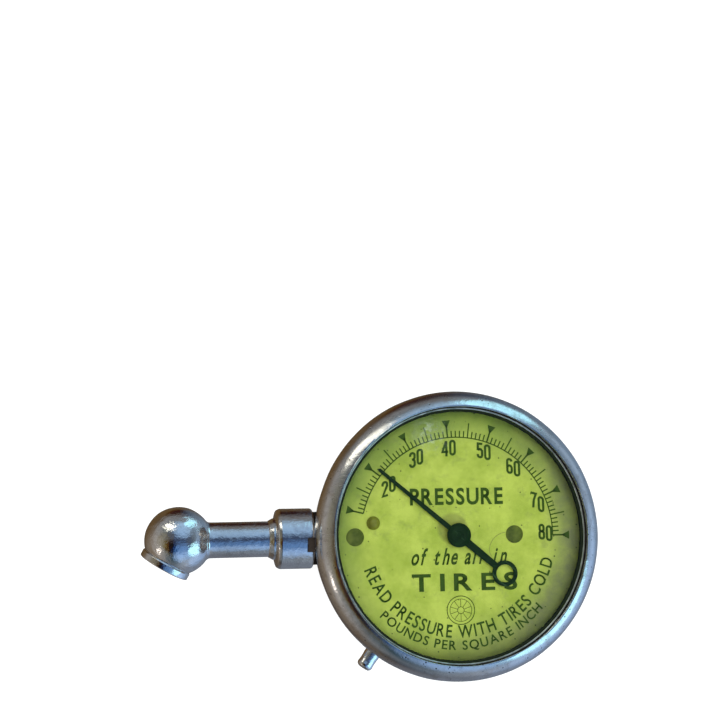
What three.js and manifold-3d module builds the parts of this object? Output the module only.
// Dial tire pressure gauge with a ball-foot chuck, held reading and release pin.
// Units are millimetres. The origin is the centre of the case back, +Z out of the
// dial, and the stem runs along -X. Angles are degrees from +X, anticlockwise.
import * as THREE from "three";
import { mergeVertices } from "three/addons/utils/BufferGeometryUtils.js";
import Module from "manifold-3d";

const wasm = await Module();
wasm.setup();

// ---- Driving dimensions ----
const GAP = 0.3; // clearance between neighbouring pieces
const ROUND = 40; // sides of the big turned pieces
const SMALL_ROUND = 12; // sides of pins, screws and their holes

const CASE_R = 25.3;
const CASE_WALL = 0.8;
const CASE_CORNER = 3;
const CASE_TOP = 14.7;
const CASE_BORE = CASE_R - CASE_WALL;

const BEZEL_R = 26.75;
const BEZEL_FOOT = 12.7;
const BEZEL_LIP_R = 23.7;
const BEZEL_SHELF = CASE_TOP + GAP;
const BEZEL_SHELF_TOP = BEZEL_SHELF + 0.5;
const BEZEL_FRONT_R = 4.7; // radius of the rounded front, in section
const BEZEL_FRONT_Z = 14.4; // height of that section's centre
const BEZEL_ROLL_R = 3.4; // radius of the wall's turn-in below it
const SIGHT_R = 22.9; // the open circle inside the shelf

const DIAL_TOP = 14.4;
const DIAL_BOTTOM = DIAL_TOP - 0.5;
const DIAL_R = 24.2;
const LENS_BOTTOM = 16.4;
const LENS_TOP = 17.2;
const LENS_R = BEZEL_LIP_R - GAP;
const HUB_HOLE_R = 1.6;

const AXIS_Z = 7.5; // height of the stem, the chuck and the release pin
const NECK_R = 4.9;
const NECK_END = 26.55;
const SPIGOT_R = 3.9;
const SPIGOT_END = 30.8;
const COLLAR_R = 5.6;
const COLLAR_START = NECK_END + GAP;
const COLLAR_END = 33.4;
const STEM_R = 3.3;
const STEM_BORE_R = 1.2;
const STEM_END = 45.85;
const BALL_X = -51.2;
const BALL_R = 6.25;
const CHUCK_TURN = 240; // the mouth's direction, seen from above
const CHUCK_DIP = 7; // and how far it looks down
const MOUTH_R = 4.05;
const CAP_R = 4.85;
const CAP_BASE = 4.15;
const CAP_FACE = 5.55;

const BLOCK_FROM = 164;
const BLOCK_TO = 244;
const BLOCK_IN = 15;
const BLOCK_OUT = CASE_BORE - 0.4;
const BLOCK_BOTTOM = CASE_WALL + GAP;
const BLOCK_TOP = DIAL_BOTTOM - GAP;
const VALVE_BORE_R = 2;

const RELEASE_TURN = 234.5;
const RELEASE_TIP = 29.7;
const RELEASE_R = 1.5;
const RELEASE_NECK_R = 0.7; // the thin stretch that passes through the pad and the bush
const RELEASE_PORT_R = 2.6;
const BUSH_R = 2.3;
const BUSH_END = 26.2;
const BACK_SCREW_HEAD_R = 1.9;

const PLATE_THICK = 1;
const LOWER_PLATE_Z = 3;
const UPPER_PLATE_Z = 10.6;
const PILLAR_FOOT = LOWER_PLATE_Z + PLATE_THICK + GAP;
const PILLAR_HEAD = UPPER_PLATE_Z - GAP;
const LEDGE = [-12.2, 0];
const PILLAR_RIGHT = [10.8, 0];
const PILLAR_LOWER = [-4.5, -9.5];
const SCREW_R = 0.8;
const SCREW_HOLE_R = SCREW_R + GAP;

const MODULE = 0.22;
const PINION_TEETH = 10;
const SECTOR_TEETH = 90; // on the full circle
const GEAR_CENTRES = (MODULE * (PINION_TEETH + SECTOR_TEETH)) / 2;
const SECTOR_TURN = -70; // from the pinion to the sector's pivot
const SECTOR_Z = 6;
const SECTOR_THICK = 1;
const LINK_Z = SECTOR_Z + SECTOR_THICK + 0.4;
const LINK_THICK = 0.6;
const LINK_HALF = 0.7;
const LINK_EYE_R = 1.1;
const PIN_R = 0.4; // the pins of the link and the stud
const ARBOR_R = 0.7;
const PIVOT_R = 0.5;

const TUBE_R = 19.5; // centreline of the curved tube
const TUBE_TALL = 5;
const TUBE_WIDE = 1.8;
const TUBE_WALL = 0.35;
const TUBE_ROOT = 171;
const TUBE_TIP = -94;
const TIP_PIN = polar(16.8, 262.7);
const TAIL_PIN = [6.7, -14.05];

const POINTER_Z = 15.05;
const POINTER_TOP = POINTER_Z + 0.25;
const POINTER_TURN = 140; // the held reading
const POINTER_TIP = 18.5;
const TAIL_RING_R = 11.2; // how far behind the hub the tail's ring sits
const BOSS_R = 2.1;
const DIAL_SCREW_LEFT = [-19.3, 0];
const DIAL_SCREW_R = 1.65;
const STOP_PIN = polar(16.1, 171);
const STOP_PIN_R = 1.15;
const STOP_SHANK_R = 0.6;
const SLOT_HALF = 0.2; // half the width of a screw's slot

// ---- Finishes ----
const nickel = finish(0xb9b4aa, 0.32, 1);
const brightNickel = finish(0xd6d3cc, 0.2, 1);
const brass = finish(0xb08d4c, 0.4, 1);
const bronze = finish(0x8f6a3a, 0.45, 1);
const steel = finish(0x8d9094, 0.35, 1);
const blueSteel = finish(0x3a4658, 0.3, 1);
const black = finish(0x1b2a26, 0.5, 0);
const dialPaint = finish(0xaac664, 0.6, 0);
const glass = finish(0xe6efe9, 0.05, 0);
const rubber = finish(0x24211e, 0.8, 0);
const fibre = finish(0x6d4b30, 0.9, 0);

function finish(color, roughness, metalness) {
  return new THREE.MeshStandardMaterial({ color, roughness, metalness });
}

// ---- Geometry helpers ----
function rad(degrees) {
  return THREE.MathUtils.degToRad(degrees);
}

function polar(radius, degrees) {
  return [radius * Math.cos(rad(degrees)), radius * Math.sin(rad(degrees))];
}

function signedVolume(points, index) {
  let sum = 0;
  const a = new THREE.Vector3();
  const b = new THREE.Vector3();
  const c = new THREE.Vector3();
  for (let i = 0; i < index.length; i += 3) {
    a.fromArray(points, 3 * index[i]);
    b.fromArray(points, 3 * index[i + 1]);
    c.fromArray(points, 3 * index[i + 2]);
    sum += a.dot(b.cross(c));
  }
  return sum / 6;
}

// A closed geometry as a manifold solid, with its faces pointing out.
function solid(geometry) {
  const bare = geometry.clone();
  bare.deleteAttribute("normal");
  bare.deleteAttribute("uv");
  const merged = mergeVertices(bare, 1e-4);
  const vertProperties = new Float32Array(merged.attributes.position.array);
  const triVerts = new Uint32Array(merged.index.array);
  if (signedVolume(vertProperties, triVerts) < 0) triVerts.reverse();
  return new wasm.Manifold(new wasm.Mesh({ numProp: 3, vertProperties, triVerts }));
}

function geometryOf(made) {
  const mesh = made.getMesh();
  const geometry = new THREE.BufferGeometry();
  geometry.setAttribute("position", new THREE.BufferAttribute(mesh.vertProperties, 3));
  geometry.setIndex(new THREE.BufferAttribute(mesh.triVerts, 1));
  geometry.computeVertexNormals();
  return geometry;
}

// A profile of [radius, height] pairs turned about Z. It closes on itself or on the axis.
function turned(profile, sides = SMALL_ROUND) {
  const points = profile.map(([r, z]) => new THREE.Vector2(r, z));
  return new THREE.LatheGeometry(points, sides).rotateX(Math.PI / 2);
}

function ring(inner, outer, low, high, sides = ROUND) {
  const profile = [[inner, low], [outer, low], [outer, high], [inner, high], [inner, low]];
  return turned(profile, sides);
}

function disc(radius, low, high, sides = SMALL_ROUND) {
  return turned([[0, low], [radius, low], [radius, high], [0, high]], sides);
}

// A disc of material or a hole on a vertical axis through a point of the plan.
function post([x, y], radius, low, high, sides = SMALL_ROUND) {
  return disc(radius, low, high, sides).translate(x, y, 0);
}

function arc(cx, cz, radius, from, to, steps) {
  const points = [];
  for (let i = 0; i <= steps; i++) {
    const turn = rad(from + ((to - from) * i) / steps);
    points.push([cx + radius * Math.cos(turn), cz + radius * Math.sin(turn)]);
  }
  return points;
}

function box(low, high) {
  const size = high.map((v, i) => v - low[i]);
  const middle = high.map((v, i) => (v + low[i]) / 2);
  return new THREE.BoxGeometry(...size).translate(...middle);
}

function plate(outline, low, high) {
  const shape = Array.isArray(outline)
    ? new THREE.Shape(outline.map(([x, y]) => new THREE.Vector2(x, y)))
    : outline;
  const options = { depth: high - low, bevelEnabled: false, curveSegments: 12 };
  return new THREE.ExtrudeGeometry(shape, options).translate(0, 0, low);
}

// A slice of a ring, from one angle to another.
function ringSlice(inner, outer, from, to, low, high) {
  const steps = Math.max(2, Math.round((to - from) / 7.5));
  const outside = arc(0, 0, outer, from, to, steps);
  const inside = arc(0, 0, inner, to, from, steps);
  return plate([...outside, ...inside], low, high);
}

// Turns a piece made along Z so that it starts at a point and runs along a direction.
function laid(geometry, start, direction) {
  const up = new THREE.Vector3(0, 0, 1);
  const turn = new THREE.Quaternion().setFromUnitVectors(up, direction.clone().normalize());
  return geometry.applyQuaternion(turn).translate(...start);
}

function cut(from, ...tools) {
  return geometryOf(tools.reduce((left, tool) => left.subtract(solid(tool)), solid(from)));
}

function join(...pieces) {
  const [first, ...rest] = pieces.map(solid);
  return geometryOf(rest.reduce((whole, piece) => whole.add(piece), first));
}

// ---- Directions of the three tilted axes ----
const stemWay = new THREE.Vector3(-1, 0, 0);
const stemStart = [0, 0, AXIS_Z];
const releaseWay = new THREE.Vector3(...polar(1, RELEASE_TURN), 0);
const ballCentre = [BALL_X, 0, AXIS_Z];
const chuckWay = new THREE.Vector3(
  Math.cos(rad(CHUCK_DIP)) * Math.cos(rad(CHUCK_TURN)),
  Math.cos(rad(CHUCK_DIP)) * Math.sin(rad(CHUCK_TURN)),
  -Math.sin(rad(CHUCK_DIP)),
);
const sectorPivot = polar(GEAR_CENTRES, SECTOR_TURN);

const onStem = (geometry) => laid(geometry, stemStart, stemWay);
const onRelease = (geometry) => laid(geometry, stemStart, releaseWay);
const onChuck = (geometry) => laid(geometry, ballCentre, chuckWay);

const gauge = new THREE.Group();

function add(name, geometry, material) {
  const mesh = new THREE.Mesh(geometryOf(solid(geometry)), material);
  mesh.name = name;
  gauge.add(mesh);
}

// ---- Case, bezel, lens ----
function caseShell() {
  const corner = CASE_R - CASE_CORNER;
  const shell = turned(
    [
      [0, 0],
      ...arc(corner, CASE_CORNER, CASE_CORNER, -90, 0, 4),
      [CASE_R, CASE_TOP],
      [CASE_BORE, CASE_TOP],
      ...arc(corner, CASE_CORNER, CASE_CORNER - CASE_WALL, 0, -90, 3),
      [0, CASE_WALL],
    ],
    ROUND,
  );
  const neckHole = onStem(disc(NECK_R + GAP, CASE_BORE - 5, CASE_R + 4, 24));
  const releaseHole = onRelease(disc(RELEASE_PORT_R, CASE_BORE - 5, CASE_R + 4));
  const screwHoles = backScrewPlaces().map((at) => post(at, BACK_SCREW_HEAD_R + GAP, -1, 2));
  return cut(shell, neckHole, releaseHole, ...screwHoles);
}

function bezelRing() {
  const skirt = CASE_R + GAP;
  const centre = BEZEL_R - BEZEL_FRONT_R;
  const lip = THREE.MathUtils.radToDeg(Math.acos((BEZEL_LIP_R - centre) / BEZEL_FRONT_R));
  const profile = [
    [skirt, BEZEL_FOOT],
    ...arc(BEZEL_R - BEZEL_ROLL_R, BEZEL_FRONT_Z, BEZEL_ROLL_R, -30, -10, 2),
    ...arc(centre, BEZEL_FRONT_Z, BEZEL_FRONT_R, 0, lip, 7),
    [BEZEL_LIP_R, BEZEL_SHELF_TOP],
    [SIGHT_R, BEZEL_SHELF_TOP],
    [SIGHT_R, BEZEL_SHELF],
    [skirt, BEZEL_SHELF],
    [skirt, BEZEL_FOOT],
  ];
  return turned(profile, ROUND);
}

add("case_shell", caseShell(), nickel);
add("bezel_ring", bezelRing(), nickel);
add("lens_gasket", ring(SIGHT_R, LENS_R, BEZEL_SHELF_TOP + GAP, LENS_BOTTOM - GAP), fibre);
add("lens", disc(LENS_R, LENS_BOTTOM, LENS_TOP, ROUND), glass);
add("lens_snap_ring", ring(SIGHT_R, LENS_R, LENS_TOP + GAP, LENS_TOP + 0.65), brightNickel);

// ---- Dial ----
function dialPlate() {
  const hole = (at, radius) => post(at, radius, DIAL_BOTTOM - 1, DIAL_TOP + 1);
  const headHoles = [DIAL_SCREW_LEFT, PILLAR_RIGHT].map((at) => hole(at, DIAL_SCREW_R + GAP));
  const centre = hole([0, 0], HUB_HOLE_R);
  const stopHole = hole(STOP_PIN, STOP_SHANK_R + GAP);
  return cut(disc(DIAL_R, DIAL_BOTTOM, DIAL_TOP, ROUND), centre, stopHole, ...headHoles);
}

function dialScrew(at, foot) {
  const top = DIAL_TOP + 0.35;
  const shank = [[0, foot], [SCREW_R, foot], [SCREW_R, DIAL_BOTTOM], [DIAL_SCREW_R, DIAL_BOTTOM]];
  const crown = [[DIAL_SCREW_R, top - 0.2], [DIAL_SCREW_R - 0.25, top], [0, top]];
  const slot = box([-2, -SLOT_HALF, top - 0.3], [2, SLOT_HALF, top + 1]);
  return cut(turned([...shank, ...crown], 20), slot).translate(...at, 0);
}

function stopPin() {
  const foot = DIAL_TOP - 2.1;
  const seat = DIAL_TOP + GAP;
  const top = DIAL_TOP + 1.25;
  const shank = [[0, foot], [STOP_SHANK_R, foot], [STOP_SHANK_R, seat], [STOP_PIN_R, seat]];
  const head = [[STOP_PIN_R, top - 0.25], [STOP_PIN_R - 0.25, top], [0, top]];
  return turned([...shank, ...head]).translate(...STOP_PIN, 0);
}

// Its shank screws down into the right pillar, and it carries the right dial screw.
function dialPost() {
  const radius = 1.9;
  const foot = PILLAR_HEAD - 2;
  const seat = UPPER_PLATE_Z + PLATE_THICK + GAP;
  const shank = [[0, foot], [SCREW_R, foot], [SCREW_R, seat], [radius, seat]];
  const body = turned([...shank, [radius, BLOCK_TOP], [0, BLOCK_TOP]]);
  return cut(body, disc(SCREW_HOLE_R, seat + GAP, BLOCK_TOP + 1)).translate(...PILLAR_RIGHT, 0);
}

add("dial_plate", dialPlate(), dialPaint);
add("dial_screw_left", dialScrew(DIAL_SCREW_LEFT, 11.3), steel);
add("dial_screw_right", dialScrew(PILLAR_RIGHT, 12.5), steel);
add("dial_post", dialPost(), brass);
add("stop_pin", stopPin(), bronze);

// ---- Socket block: neck, valve bores, tube socket and movement ledge ----
function backScrewPlaces() {
  return [polar(20, 190), polar(20, 218)];
}

// The solid block, with the ledge for the movement plates, the neck and its spigot.
function blockBody() {
  const inside = NECK_END - 4.55; // where the neck starts, within the block
  return join(
    ringSlice(BLOCK_IN, BLOCK_OUT, BLOCK_FROM, BLOCK_TO, CASE_CORNER + GAP, BLOCK_TOP),
    ringSlice(BLOCK_IN, BLOCK_OUT - 2, BLOCK_FROM, BLOCK_TO, BLOCK_BOTTOM, CASE_CORNER + 1),
    box([-16, -3, PILLAR_FOOT], [-10.5, 2.5, PILLAR_HEAD]),
    onRelease(disc(2.8, 13.1, BLOCK_OUT - 1, 20)),
    onStem(disc(NECK_R, inside, NECK_END, 24)),
    onStem(disc(SPIGOT_R, inside, SPIGOT_END, 24)),
  );
}

// Air comes in along the neck to a small chamber. One port goes on to the tube, one to
// the release valve.
function airWays() {
  const portR = 0.7;
  const chamber = [-21.5, 0];
  const tubeMouth = polar(TUBE_R, TUBE_ROOT);
  const releaseChamber = polar(18, RELEASE_TURN);
  const port = (to, short) => {
    const way = new THREE.Vector3(to[0] - chamber[0], to[1] - chamber[1], 0);
    return laid(disc(portR, 0, way.length() - short), [...chamber, AXIS_Z], way);
  };
  return [
    onStem(disc(VALVE_BORE_R, 22.7, SPIGOT_END + 1)),
    onStem(disc(1, 20.4, 24)),
    port(tubeMouth, 1.1),
    port(releaseChamber, 1.1),
    onRelease(disc(RELEASE_PORT_R, 19.9, CASE_R + 4)),
    onRelease(disc(1.9, 13.8, 21)),
  ];
}

// Holes for the tube's root, the dial screw, the stop pin and the plate screws.
function blockHoles() {
  const midTall = TUBE_TALL / 2 + GAP;
  const midWide = TUBE_WIDE / 2 + GAP;
  const pastRoot = TUBE_ROOT + 0.9;
  return [
    ringSlice(TUBE_R - midWide, TUBE_R + midWide, 160, pastRoot, AXIS_Z - midTall, AXIS_Z + midTall),
    post(DIAL_SCREW_LEFT, SCREW_HOLE_R, 11, BLOCK_TOP + 1),
    post(STOP_PIN, STOP_SHANK_R + GAP, 12, BLOCK_TOP + 1),
    post(LEDGE, SCREW_HOLE_R, PILLAR_HEAD - 2.3, PILLAR_HEAD + 1),
    post(LEDGE, SCREW_HOLE_R, PILLAR_FOOT - 1, PILLAR_FOOT + 2.3),
  ];
}

// A bore and a countersink, from below, for a back screw.
function backScrewSeat(at) {
  const wide = BACK_SCREW_HEAD_R + 0.7;
  const sink = turned([[0, 0.5], [wide, 0.5], [SCREW_HOLE_R, 2], [0, 2]]).translate(...at, 0);
  return [post(at, SCREW_HOLE_R, 0, 4.8), sink];
}

function socketBlock() {
  return cut(blockBody(), ...airWays(), ...blockHoles(), ...backScrewPlaces().flatMap(backScrewSeat));
}

// A flat-headed screw for the case back, its head flush with the sheet.
function backScrew(at) {
  const face = 0.1;
  const end = 4.5;
  const head = [[0, face], [BACK_SCREW_HEAD_R, face], [BACK_SCREW_HEAD_R, 0.3], [SCREW_R, 1.4]];
  const slot = box([-3, -0.25, -1], [3, 0.25, 0.6]);
  return cut(turned([...head, [SCREW_R, end], [0, end]]), slot).translate(...at, 0);
}

add("socket_block", socketBlock(), brass);
backScrewPlaces().forEach((at, i) => add(`back_screw_${i + 1}`, backScrew(at), steel));

// ---- Stem and chuck ----
// Heights along the stem are distances from the case's centre.
function stemBody() {
  const edge = 0.9; // radius of the collar's rounded shoulder
  const bore = SPIGOT_R + GAP;
  const boreEnd = SPIGOT_END + 1.5;
  const profile = [
    [bore, COLLAR_START],
    [COLLAR_R - 0.3, COLLAR_START],
    [COLLAR_R, COLLAR_START + 0.3],
    ...arc(COLLAR_R - edge, COLLAR_END - edge, edge, 0, 90, 4),
    [3.8, COLLAR_END],
    [3.7, COLLAR_END + 0.4],
    [STEM_R, COLLAR_END + 1.1],
    [STEM_R, STEM_END],
    [STEM_BORE_R, STEM_END],
    [STEM_BORE_R, boreEnd],
    [bore, boreEnd],
    [bore, COLLAR_START],
  ];
  return onStem(turned(profile, 28));
}

function ballHead() {
  const ball = new THREE.SphereGeometry(BALL_R, 28, 16).translate(...ballCentre);
  return cut(
    ball,
    box([-STEM_END - GAP, -8, 0], [-40, 8, 16]),
    onStem(disc(STEM_BORE_R, 40, -BALL_X)),
    onChuck(disc(2.6, -1.6, 0, 24)),
    onChuck(disc(MOUTH_R + 0.05, -0.4, 5, 24)),
    onChuck(disc(8, CAP_BASE - GAP, 8, 24)),
  );
}

// A perforated disc with a pin that pushes the tyre valve's core open.
function depressorPin() {
  const discR = 3.7;
  const pinR = 0.5;
  const end = 1.9;
  const flange = [[0, -0.1], [discR, -0.1], [discR, 0.3], [pinR, 0.3]];
  const body = turned([...flange, [pinR, end - 0.2], [pinR - 0.2, end], [0, end]], 24);
  const airHoles = [0, 120, 240].map((turn) => post(polar(2.2, turn), 0.7, -1, 1, 10));
  return onChuck(cut(body, ...airHoles));
}

add("stem_body", stemBody(), nickel);
add("neck_washer", onStem(ring(1.5, 3.8, SPIGOT_END + GAP, 32, 20)), fibre);
add("ball_head", ballHead(), nickel);
add("chuck_cap", onChuck(ring(MOUTH_R, CAP_R, CAP_BASE, CAP_FACE, 28)), nickel);
add("chuck_washer", onChuck(ring(1.6, 3.8, 0.6, 1.4, 24)), rubber);
add("depressor_pin", depressorPin(), brass);

// ---- Check valve in the neck, and release valve in the block ----
class Helix extends THREE.Curve {
  constructor(radius, from, to, turns) {
    super();
    Object.assign(this, { radius, from, to, turns });
  }
  getPoint(t) {
    const [x, y] = polar(this.radius, 360 * this.turns * t);
    return new THREE.Vector3(x, y, this.from + (this.to - this.from) * t);
  }
}

function coilSpring(radius, wire, from, to, turns) {
  const section = new THREE.Shape();
  section.absarc(0, 0, wire, 0, 2 * Math.PI);
  const extrudePath = new Helix(radius, from, to, turns);
  const options = { extrudePath, steps: turns * 8, curveSegments: 3 };
  return new THREE.ExtrudeGeometry(section, options);
}

function checkPoppet() {
  const tail = [[0, 26.2], [0.6, 26.2], [0.6, 28.2]];
  const head = [[1.4, 28.2], [1.4, 28.7], [0.6, 29], [0, 29]];
  return onStem(turned([...tail, ...head]));
}

// A flange behind the pad, a thin neck through the bush, and the button that shows.
function releasePlunger() {
  const waist = RELEASE_R - 0.14;
  const round = 0.8;
  const profile = [
    [0, 18.4],
    [RELEASE_R, 18.4],
    [RELEASE_R, 19],
    [RELEASE_NECK_R, 19],
    [RELEASE_NECK_R, 23],
    [RELEASE_R, 23],
    [RELEASE_R, 27],
    [waist, 27.3],
    [waist, 28.2],
    ...arc(RELEASE_R - round, RELEASE_TIP - round, round, 0, 90, 4),
    [0, RELEASE_TIP],
  ];
  return onRelease(turned(profile, 18));
}

function releaseBush() {
  const seat = RELEASE_NECK_R + GAP;
  const bore = RELEASE_R + GAP;
  const floor = 20.2;
  const outside = [[seat, floor], [BUSH_R, floor], [BUSH_R, BUSH_END], [bore, BUSH_END]];
  return onRelease(turned([...outside, [bore, floor + 1], [seat, floor + 1], [seat, floor]]));
}

add("check_valve_seat", onStem(ring(0.9, 1.7, 29.3, 30.6, SMALL_ROUND)), brass);
add("check_valve_poppet", checkPoppet(), brass);
add("check_valve_spring", onStem(coilSpring(1.25, 0.15, 23.1, 27.9, 5)), steel);
add("release_bush", releaseBush(), brass);
add("release_plunger", releasePlunger(), nickel);
add("release_pad", onRelease(ring(1, RELEASE_R, 19.3, 19.9, SMALL_ROUND)), rubber);
add("release_spring", onRelease(coilSpring(1.2, 0.15, 14.2, 18, 4)), steel);

// ---- Movement plates ----
const plateOutline = [
  [-13.9, 3.2],
  [13.2, 3.2],
  [13.2, -2.4],
  [6.4, -12.6],
  [-6.6, -12.2],
  [-13.9, -4],
];
const springStud = polar(5.7, -60);

function movementPlate(low, holes) {
  const tools = holes.map(([at, radius]) => post(at, radius, low - 1, low + 2));
  return cut(plate(plateOutline, low, low + PLATE_THICK), ...tools);
}

function pillar(at) {
  const deep = 2.3;
  const upperBore = disc(SCREW_HOLE_R, PILLAR_HEAD - deep, PILLAR_HEAD + 1);
  const lowerBore = disc(SCREW_HOLE_R, PILLAR_FOOT - 1, PILLAR_FOOT + deep);
  return cut(disc(1.6, PILLAR_FOOT, PILLAR_HEAD), upperBore, lowerBore).translate(...at, 0);
}

// A cheese-headed screw. The way is 1 with its head on top, -1 with its head below.
function plateScrew(at, headBase, way) {
  const head = 1.5;
  const shank = [[0, -2.6], [SCREW_R, -2.6], [SCREW_R, GAP], [head, GAP]];
  const slot = box([-2, -SLOT_HALF, 0.65], [2, SLOT_HALF, 2]);
  const screw = cut(turned([...shank, [head, 1], [0, 1]]), slot);
  if (way < 0) screw.rotateX(Math.PI);
  return screw.translate(...at, headBase);
}

const shaftHoles = [
  [[0, 0], 0.9],
  [sectorPivot, 0.8],
];
const screwHoles = [LEDGE, PILLAR_RIGHT, PILLAR_LOWER].map((at) => [at, SCREW_HOLE_R]);
const plateHoles = [...shaftHoles, ...screwHoles];
const studHole = [springStud, PIN_R + GAP];
const upperPlateTop = UPPER_PLATE_Z + PLATE_THICK;

add("lower_plate", movementPlate(LOWER_PLATE_Z, plateHoles), brass);
add("upper_plate", movementPlate(UPPER_PLATE_Z, [...plateHoles, studHole]), brass);
add("pillar_right", pillar(PILLAR_RIGHT), brass);
add("pillar_lower", pillar(PILLAR_LOWER), brass);
add("upper_screw_1", plateScrew(LEDGE, upperPlateTop, 1), steel);
add("upper_screw_2", plateScrew(PILLAR_LOWER, upperPlateTop, 1), steel);
[LEDGE, PILLAR_RIGHT, PILLAR_LOWER].forEach((at, i) =>
  add(`lower_screw_${i + 1}`, plateScrew(at, LOWER_PLATE_Z, -1), steel),
);
add("hairspring_stud", post(springStud, PIN_R, 8, upperPlateTop + 0.2, 10), brass);

// ---- Curved tube, tip and link ----
class TubeArc extends THREE.Curve {
  getPoint(t) {
    const [x, y] = polar(TUBE_R, TUBE_ROOT + (TUBE_TIP - TUBE_ROOT) * t);
    return new THREE.Vector3(x, y, AXIS_Z);
  }
}

// The flattened section lies with its long side along Z.
function bourdonTube() {
  const tall = TUBE_TALL / 2;
  const wide = TUBE_WIDE / 2;
  const section = new THREE.Shape();
  section.absellipse(0, 0, tall, wide, 0, 2 * Math.PI);
  const hollow = new THREE.Path();
  hollow.absellipse(0, 0, tall - TUBE_WALL, wide - TUBE_WALL, 0, 2 * Math.PI);
  section.holes.push(hollow);
  const options = { extrudePath: new TubeArc(), steps: 32, curveSegments: 4 };
  return new THREE.ExtrudeGeometry(section, options);
}

// The block that closes the tube, and the arm that reaches in to the link.
function tubeTip() {
  const armLow = SECTOR_Z + 0.1;
  const armHigh = armLow + 1;
  const plug = ringSlice(TUBE_R - 1.1, TUBE_R + 1.1, 259, 265.1, AXIS_Z - 2.7, AXIS_Z + 2.7);
  const lug = post(TIP_PIN, 1.3, armLow, armHigh);
  const arm = ringSlice(16.8, 19, 260.9, 264.5, armLow, armHigh);
  return cut(join(plug, lug, arm), post(TIP_PIN, PIN_R + GAP, armLow - 1, armHigh + 1));
}

function headedPin(at, low) {
  const head = LINK_Z + LINK_THICK + GAP;
  const headR = PIN_R + 0.5;
  const shank = [[0, low], [PIN_R, low], [PIN_R, head], [headR, head]];
  return turned([...shank, [headR, head + GAP], [0, head + GAP]]).translate(...at, 0);
}

// A flat bar on a level, between two points of the plan.
function bar(from, to, half, low, high) {
  const dx = to[0] - from[0];
  const dy = to[1] - from[1];
  const straight = box([0, -half, low], [Math.hypot(dx, dy), half, high]);
  return straight.rotateZ(Math.atan2(dy, dx)).translate(...from, 0);
}

function link() {
  const high = LINK_Z + LINK_THICK;
  const ends = [TIP_PIN, TAIL_PIN];
  const eyes = ends.map((at) => post(at, LINK_EYE_R, LINK_Z, high));
  const holes = ends.map((at) => post(at, PIN_R + 0.35, LINK_Z - 1, high + 1));
  return cut(join(...eyes, bar(TIP_PIN, TAIL_PIN, LINK_HALF, LINK_Z, high)), ...holes);
}

add("bourdon_tube", bourdonTube(), bronze);
add("tube_tip", tubeTip(), brass);
add("tip_pin", headedPin(TIP_PIN, 5.8), steel);
add("link", link(), brass);

// ---- Sector, pinion and hairspring ----
// Points of evenly spaced teeth about a centre, the first tooth centred on an angle.
function teeth(pitchRadius, firstTurn, count, stepTurn) {
  const root = pitchRadius - 1.2 * MODULE;
  const tip = pitchRadius + 0.8 * MODULE;
  const points = [];
  for (let i = 0; i < count; i++) {
    const middle = firstTurn + i * stepTurn;
    points.push(polar(root, middle - 0.3 * stepTurn));
    points.push(polar(tip, middle - 0.12 * stepTurn));
    points.push(polar(tip, middle + 0.12 * stepTurn));
    points.push(polar(root, middle + 0.3 * stepTurn));
  }
  return points;
}

function sectorGear() {
  const step = 360 / SECTOR_TEETH;
  const mesh = SECTOR_TURN + 180;
  const before = 6; // teeth on the far side of the one that meets the pinion at rest
  const high = SECTOR_Z + SECTOR_THICK;
  const rim = teeth((MODULE * SECTOR_TEETH) / 2, mesh - before * step, 9, step);
  const blade = plate([[1.2, 0], ...rim, [-1.2, 0]], SECTOR_Z, high);
  const body = join(
    blade.translate(...sectorPivot, 0),
    post(sectorPivot, 2, SECTOR_Z, high),
    bar(sectorPivot, TAIL_PIN, 0.8, SECTOR_Z, high),
    post(TAIL_PIN, 1.2, SECTOR_Z, high),
  );
  const hole = (at, radius) => post(at, radius, SECTOR_Z - 1, high + 1);
  return cut(body, hole(sectorPivot, ARBOR_R + GAP), hole(TAIL_PIN, PIN_R + GAP));
}

function sectorArbor() {
  const lower = [[0, LOWER_PLATE_Z], [PIVOT_R, LOWER_PLATE_Z], [PIVOT_R, PILLAR_FOOT]];
  const upper = [[PIVOT_R, PILLAR_HEAD], [PIVOT_R, upperPlateTop], [0, upperPlateTop]];
  const middle = [[ARBOR_R, PILLAR_FOOT], [ARBOR_R, PILLAR_HEAD]];
  return turned([...lower, ...middle, ...upper]).translate(...sectorPivot, 0);
}

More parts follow.
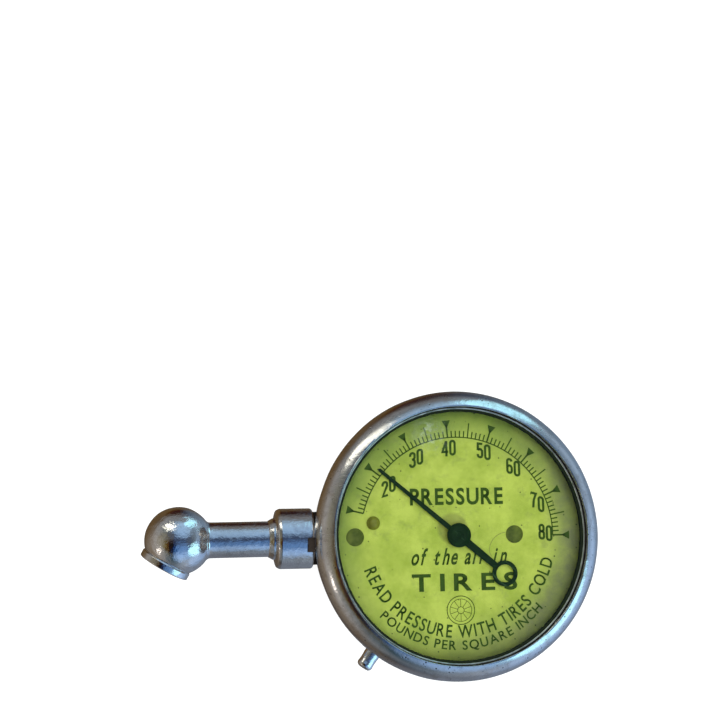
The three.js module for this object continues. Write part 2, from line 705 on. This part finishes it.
function pinionArbor() {
  const foot = LOWER_PLATE_Z - GAP;
  const low = PILLAR_FOOT + GAP;
  const high = BLOCK_TOP - 0.6;
  const end = POINTER_TOP + 0.2;
  const step = 360 / PINION_TEETH;
  const lower = [[0, foot], [PIVOT_R, foot], [PIVOT_R, low], [0.6, low]];
  const upper = [[0.6, high], [PIVOT_R, high], [PIVOT_R, end], [0, end]];
  const rim = teeth((MODULE * PINION_TEETH) / 2, SECTOR_TURN + step / 2, PINION_TEETH, step);
  return join(turned([...lower, ...upper]), plate(rim, SECTOR_Z - 0.6, SECTOR_Z + 1.6));
}

// A flat spiral of thin strip, from the collet out to the stud.
function hairspring() {
  const turns = 4.5;
  const steps = 72;
  const inner = 1.75;
  const outer = 5.1;
  const half = 0.09;
  const edge = (side) =>
    Array.from({ length: steps + 1 }, (_, i) => {
      const radius = inner + ((outer - inner) * i) / steps + side * half;
      return polar(radius, -60 - 360 * turns * (1 - i / steps));
    });
  return plate([...edge(1), ...edge(-1).reverse()], 8.3, 8.9);
}

add("sector_gear", sectorGear(), brass);
add("sector_arbor", sectorArbor(), steel);
add("tail_pin", headedPin(TAIL_PIN, 5.7), steel);
add("pinion_arbor", pinionArbor(), steel);
add("hairspring_collet", ring(0.9, 1.35, 8.2, 9, SMALL_ROUND), brass);
add("hairspring", hairspring(), blueSteel);

// ---- Pointer ----
// Drawn along +X with its ring behind, then turned to the held reading.
function pointer() {
  const low = POINTER_Z;
  const high = POINTER_TOP;
  const root = 0.55;
  const point = 0.2;
  const tailHalf = 0.62;
  const outline = [[0, -root], [POINTER_TIP, -point], [POINTER_TIP, point], [0, root]];
  const needle = plate(outline, low, high);
  const tail = box([-TAIL_RING_R + 1.9, -tailHalf, low], [0, tailHalf, high]);
  const loop = ring(1.65, 2.4, low, high, 24).translate(-TAIL_RING_R, 0, 0);
  const boss = disc(BOSS_R, low, high, 20);
  const centre = disc(HUB_HOLE_R, low - 1, high + 1);
  return cut(join(needle, tail, loop, boss), centre).rotateZ(rad(POINTER_TURN));
}

// The hub's collar passes through the pointer, and its head rests above the boss.
function pointerHub() {
  const collar = HUB_HOLE_R - GAP;
  const head = 2.25;
  const under = POINTER_TOP + GAP;
  const profile = [
    [0, POINTER_Z],
    [collar, POINTER_Z],
    [collar, under],
    [head, under],
    [head, under + 0.15],
    [1.7, under + 0.43],
    [0, under + 0.5],
  ];
  return cut(turned(profile, 20), disc(PIVOT_R + GAP, POINTER_Z - 1, POINTER_TOP + 0.5));
}

add("pointer", pointer(), black);
add("pointer_hub", pointerHub(), black);

export default gauge;
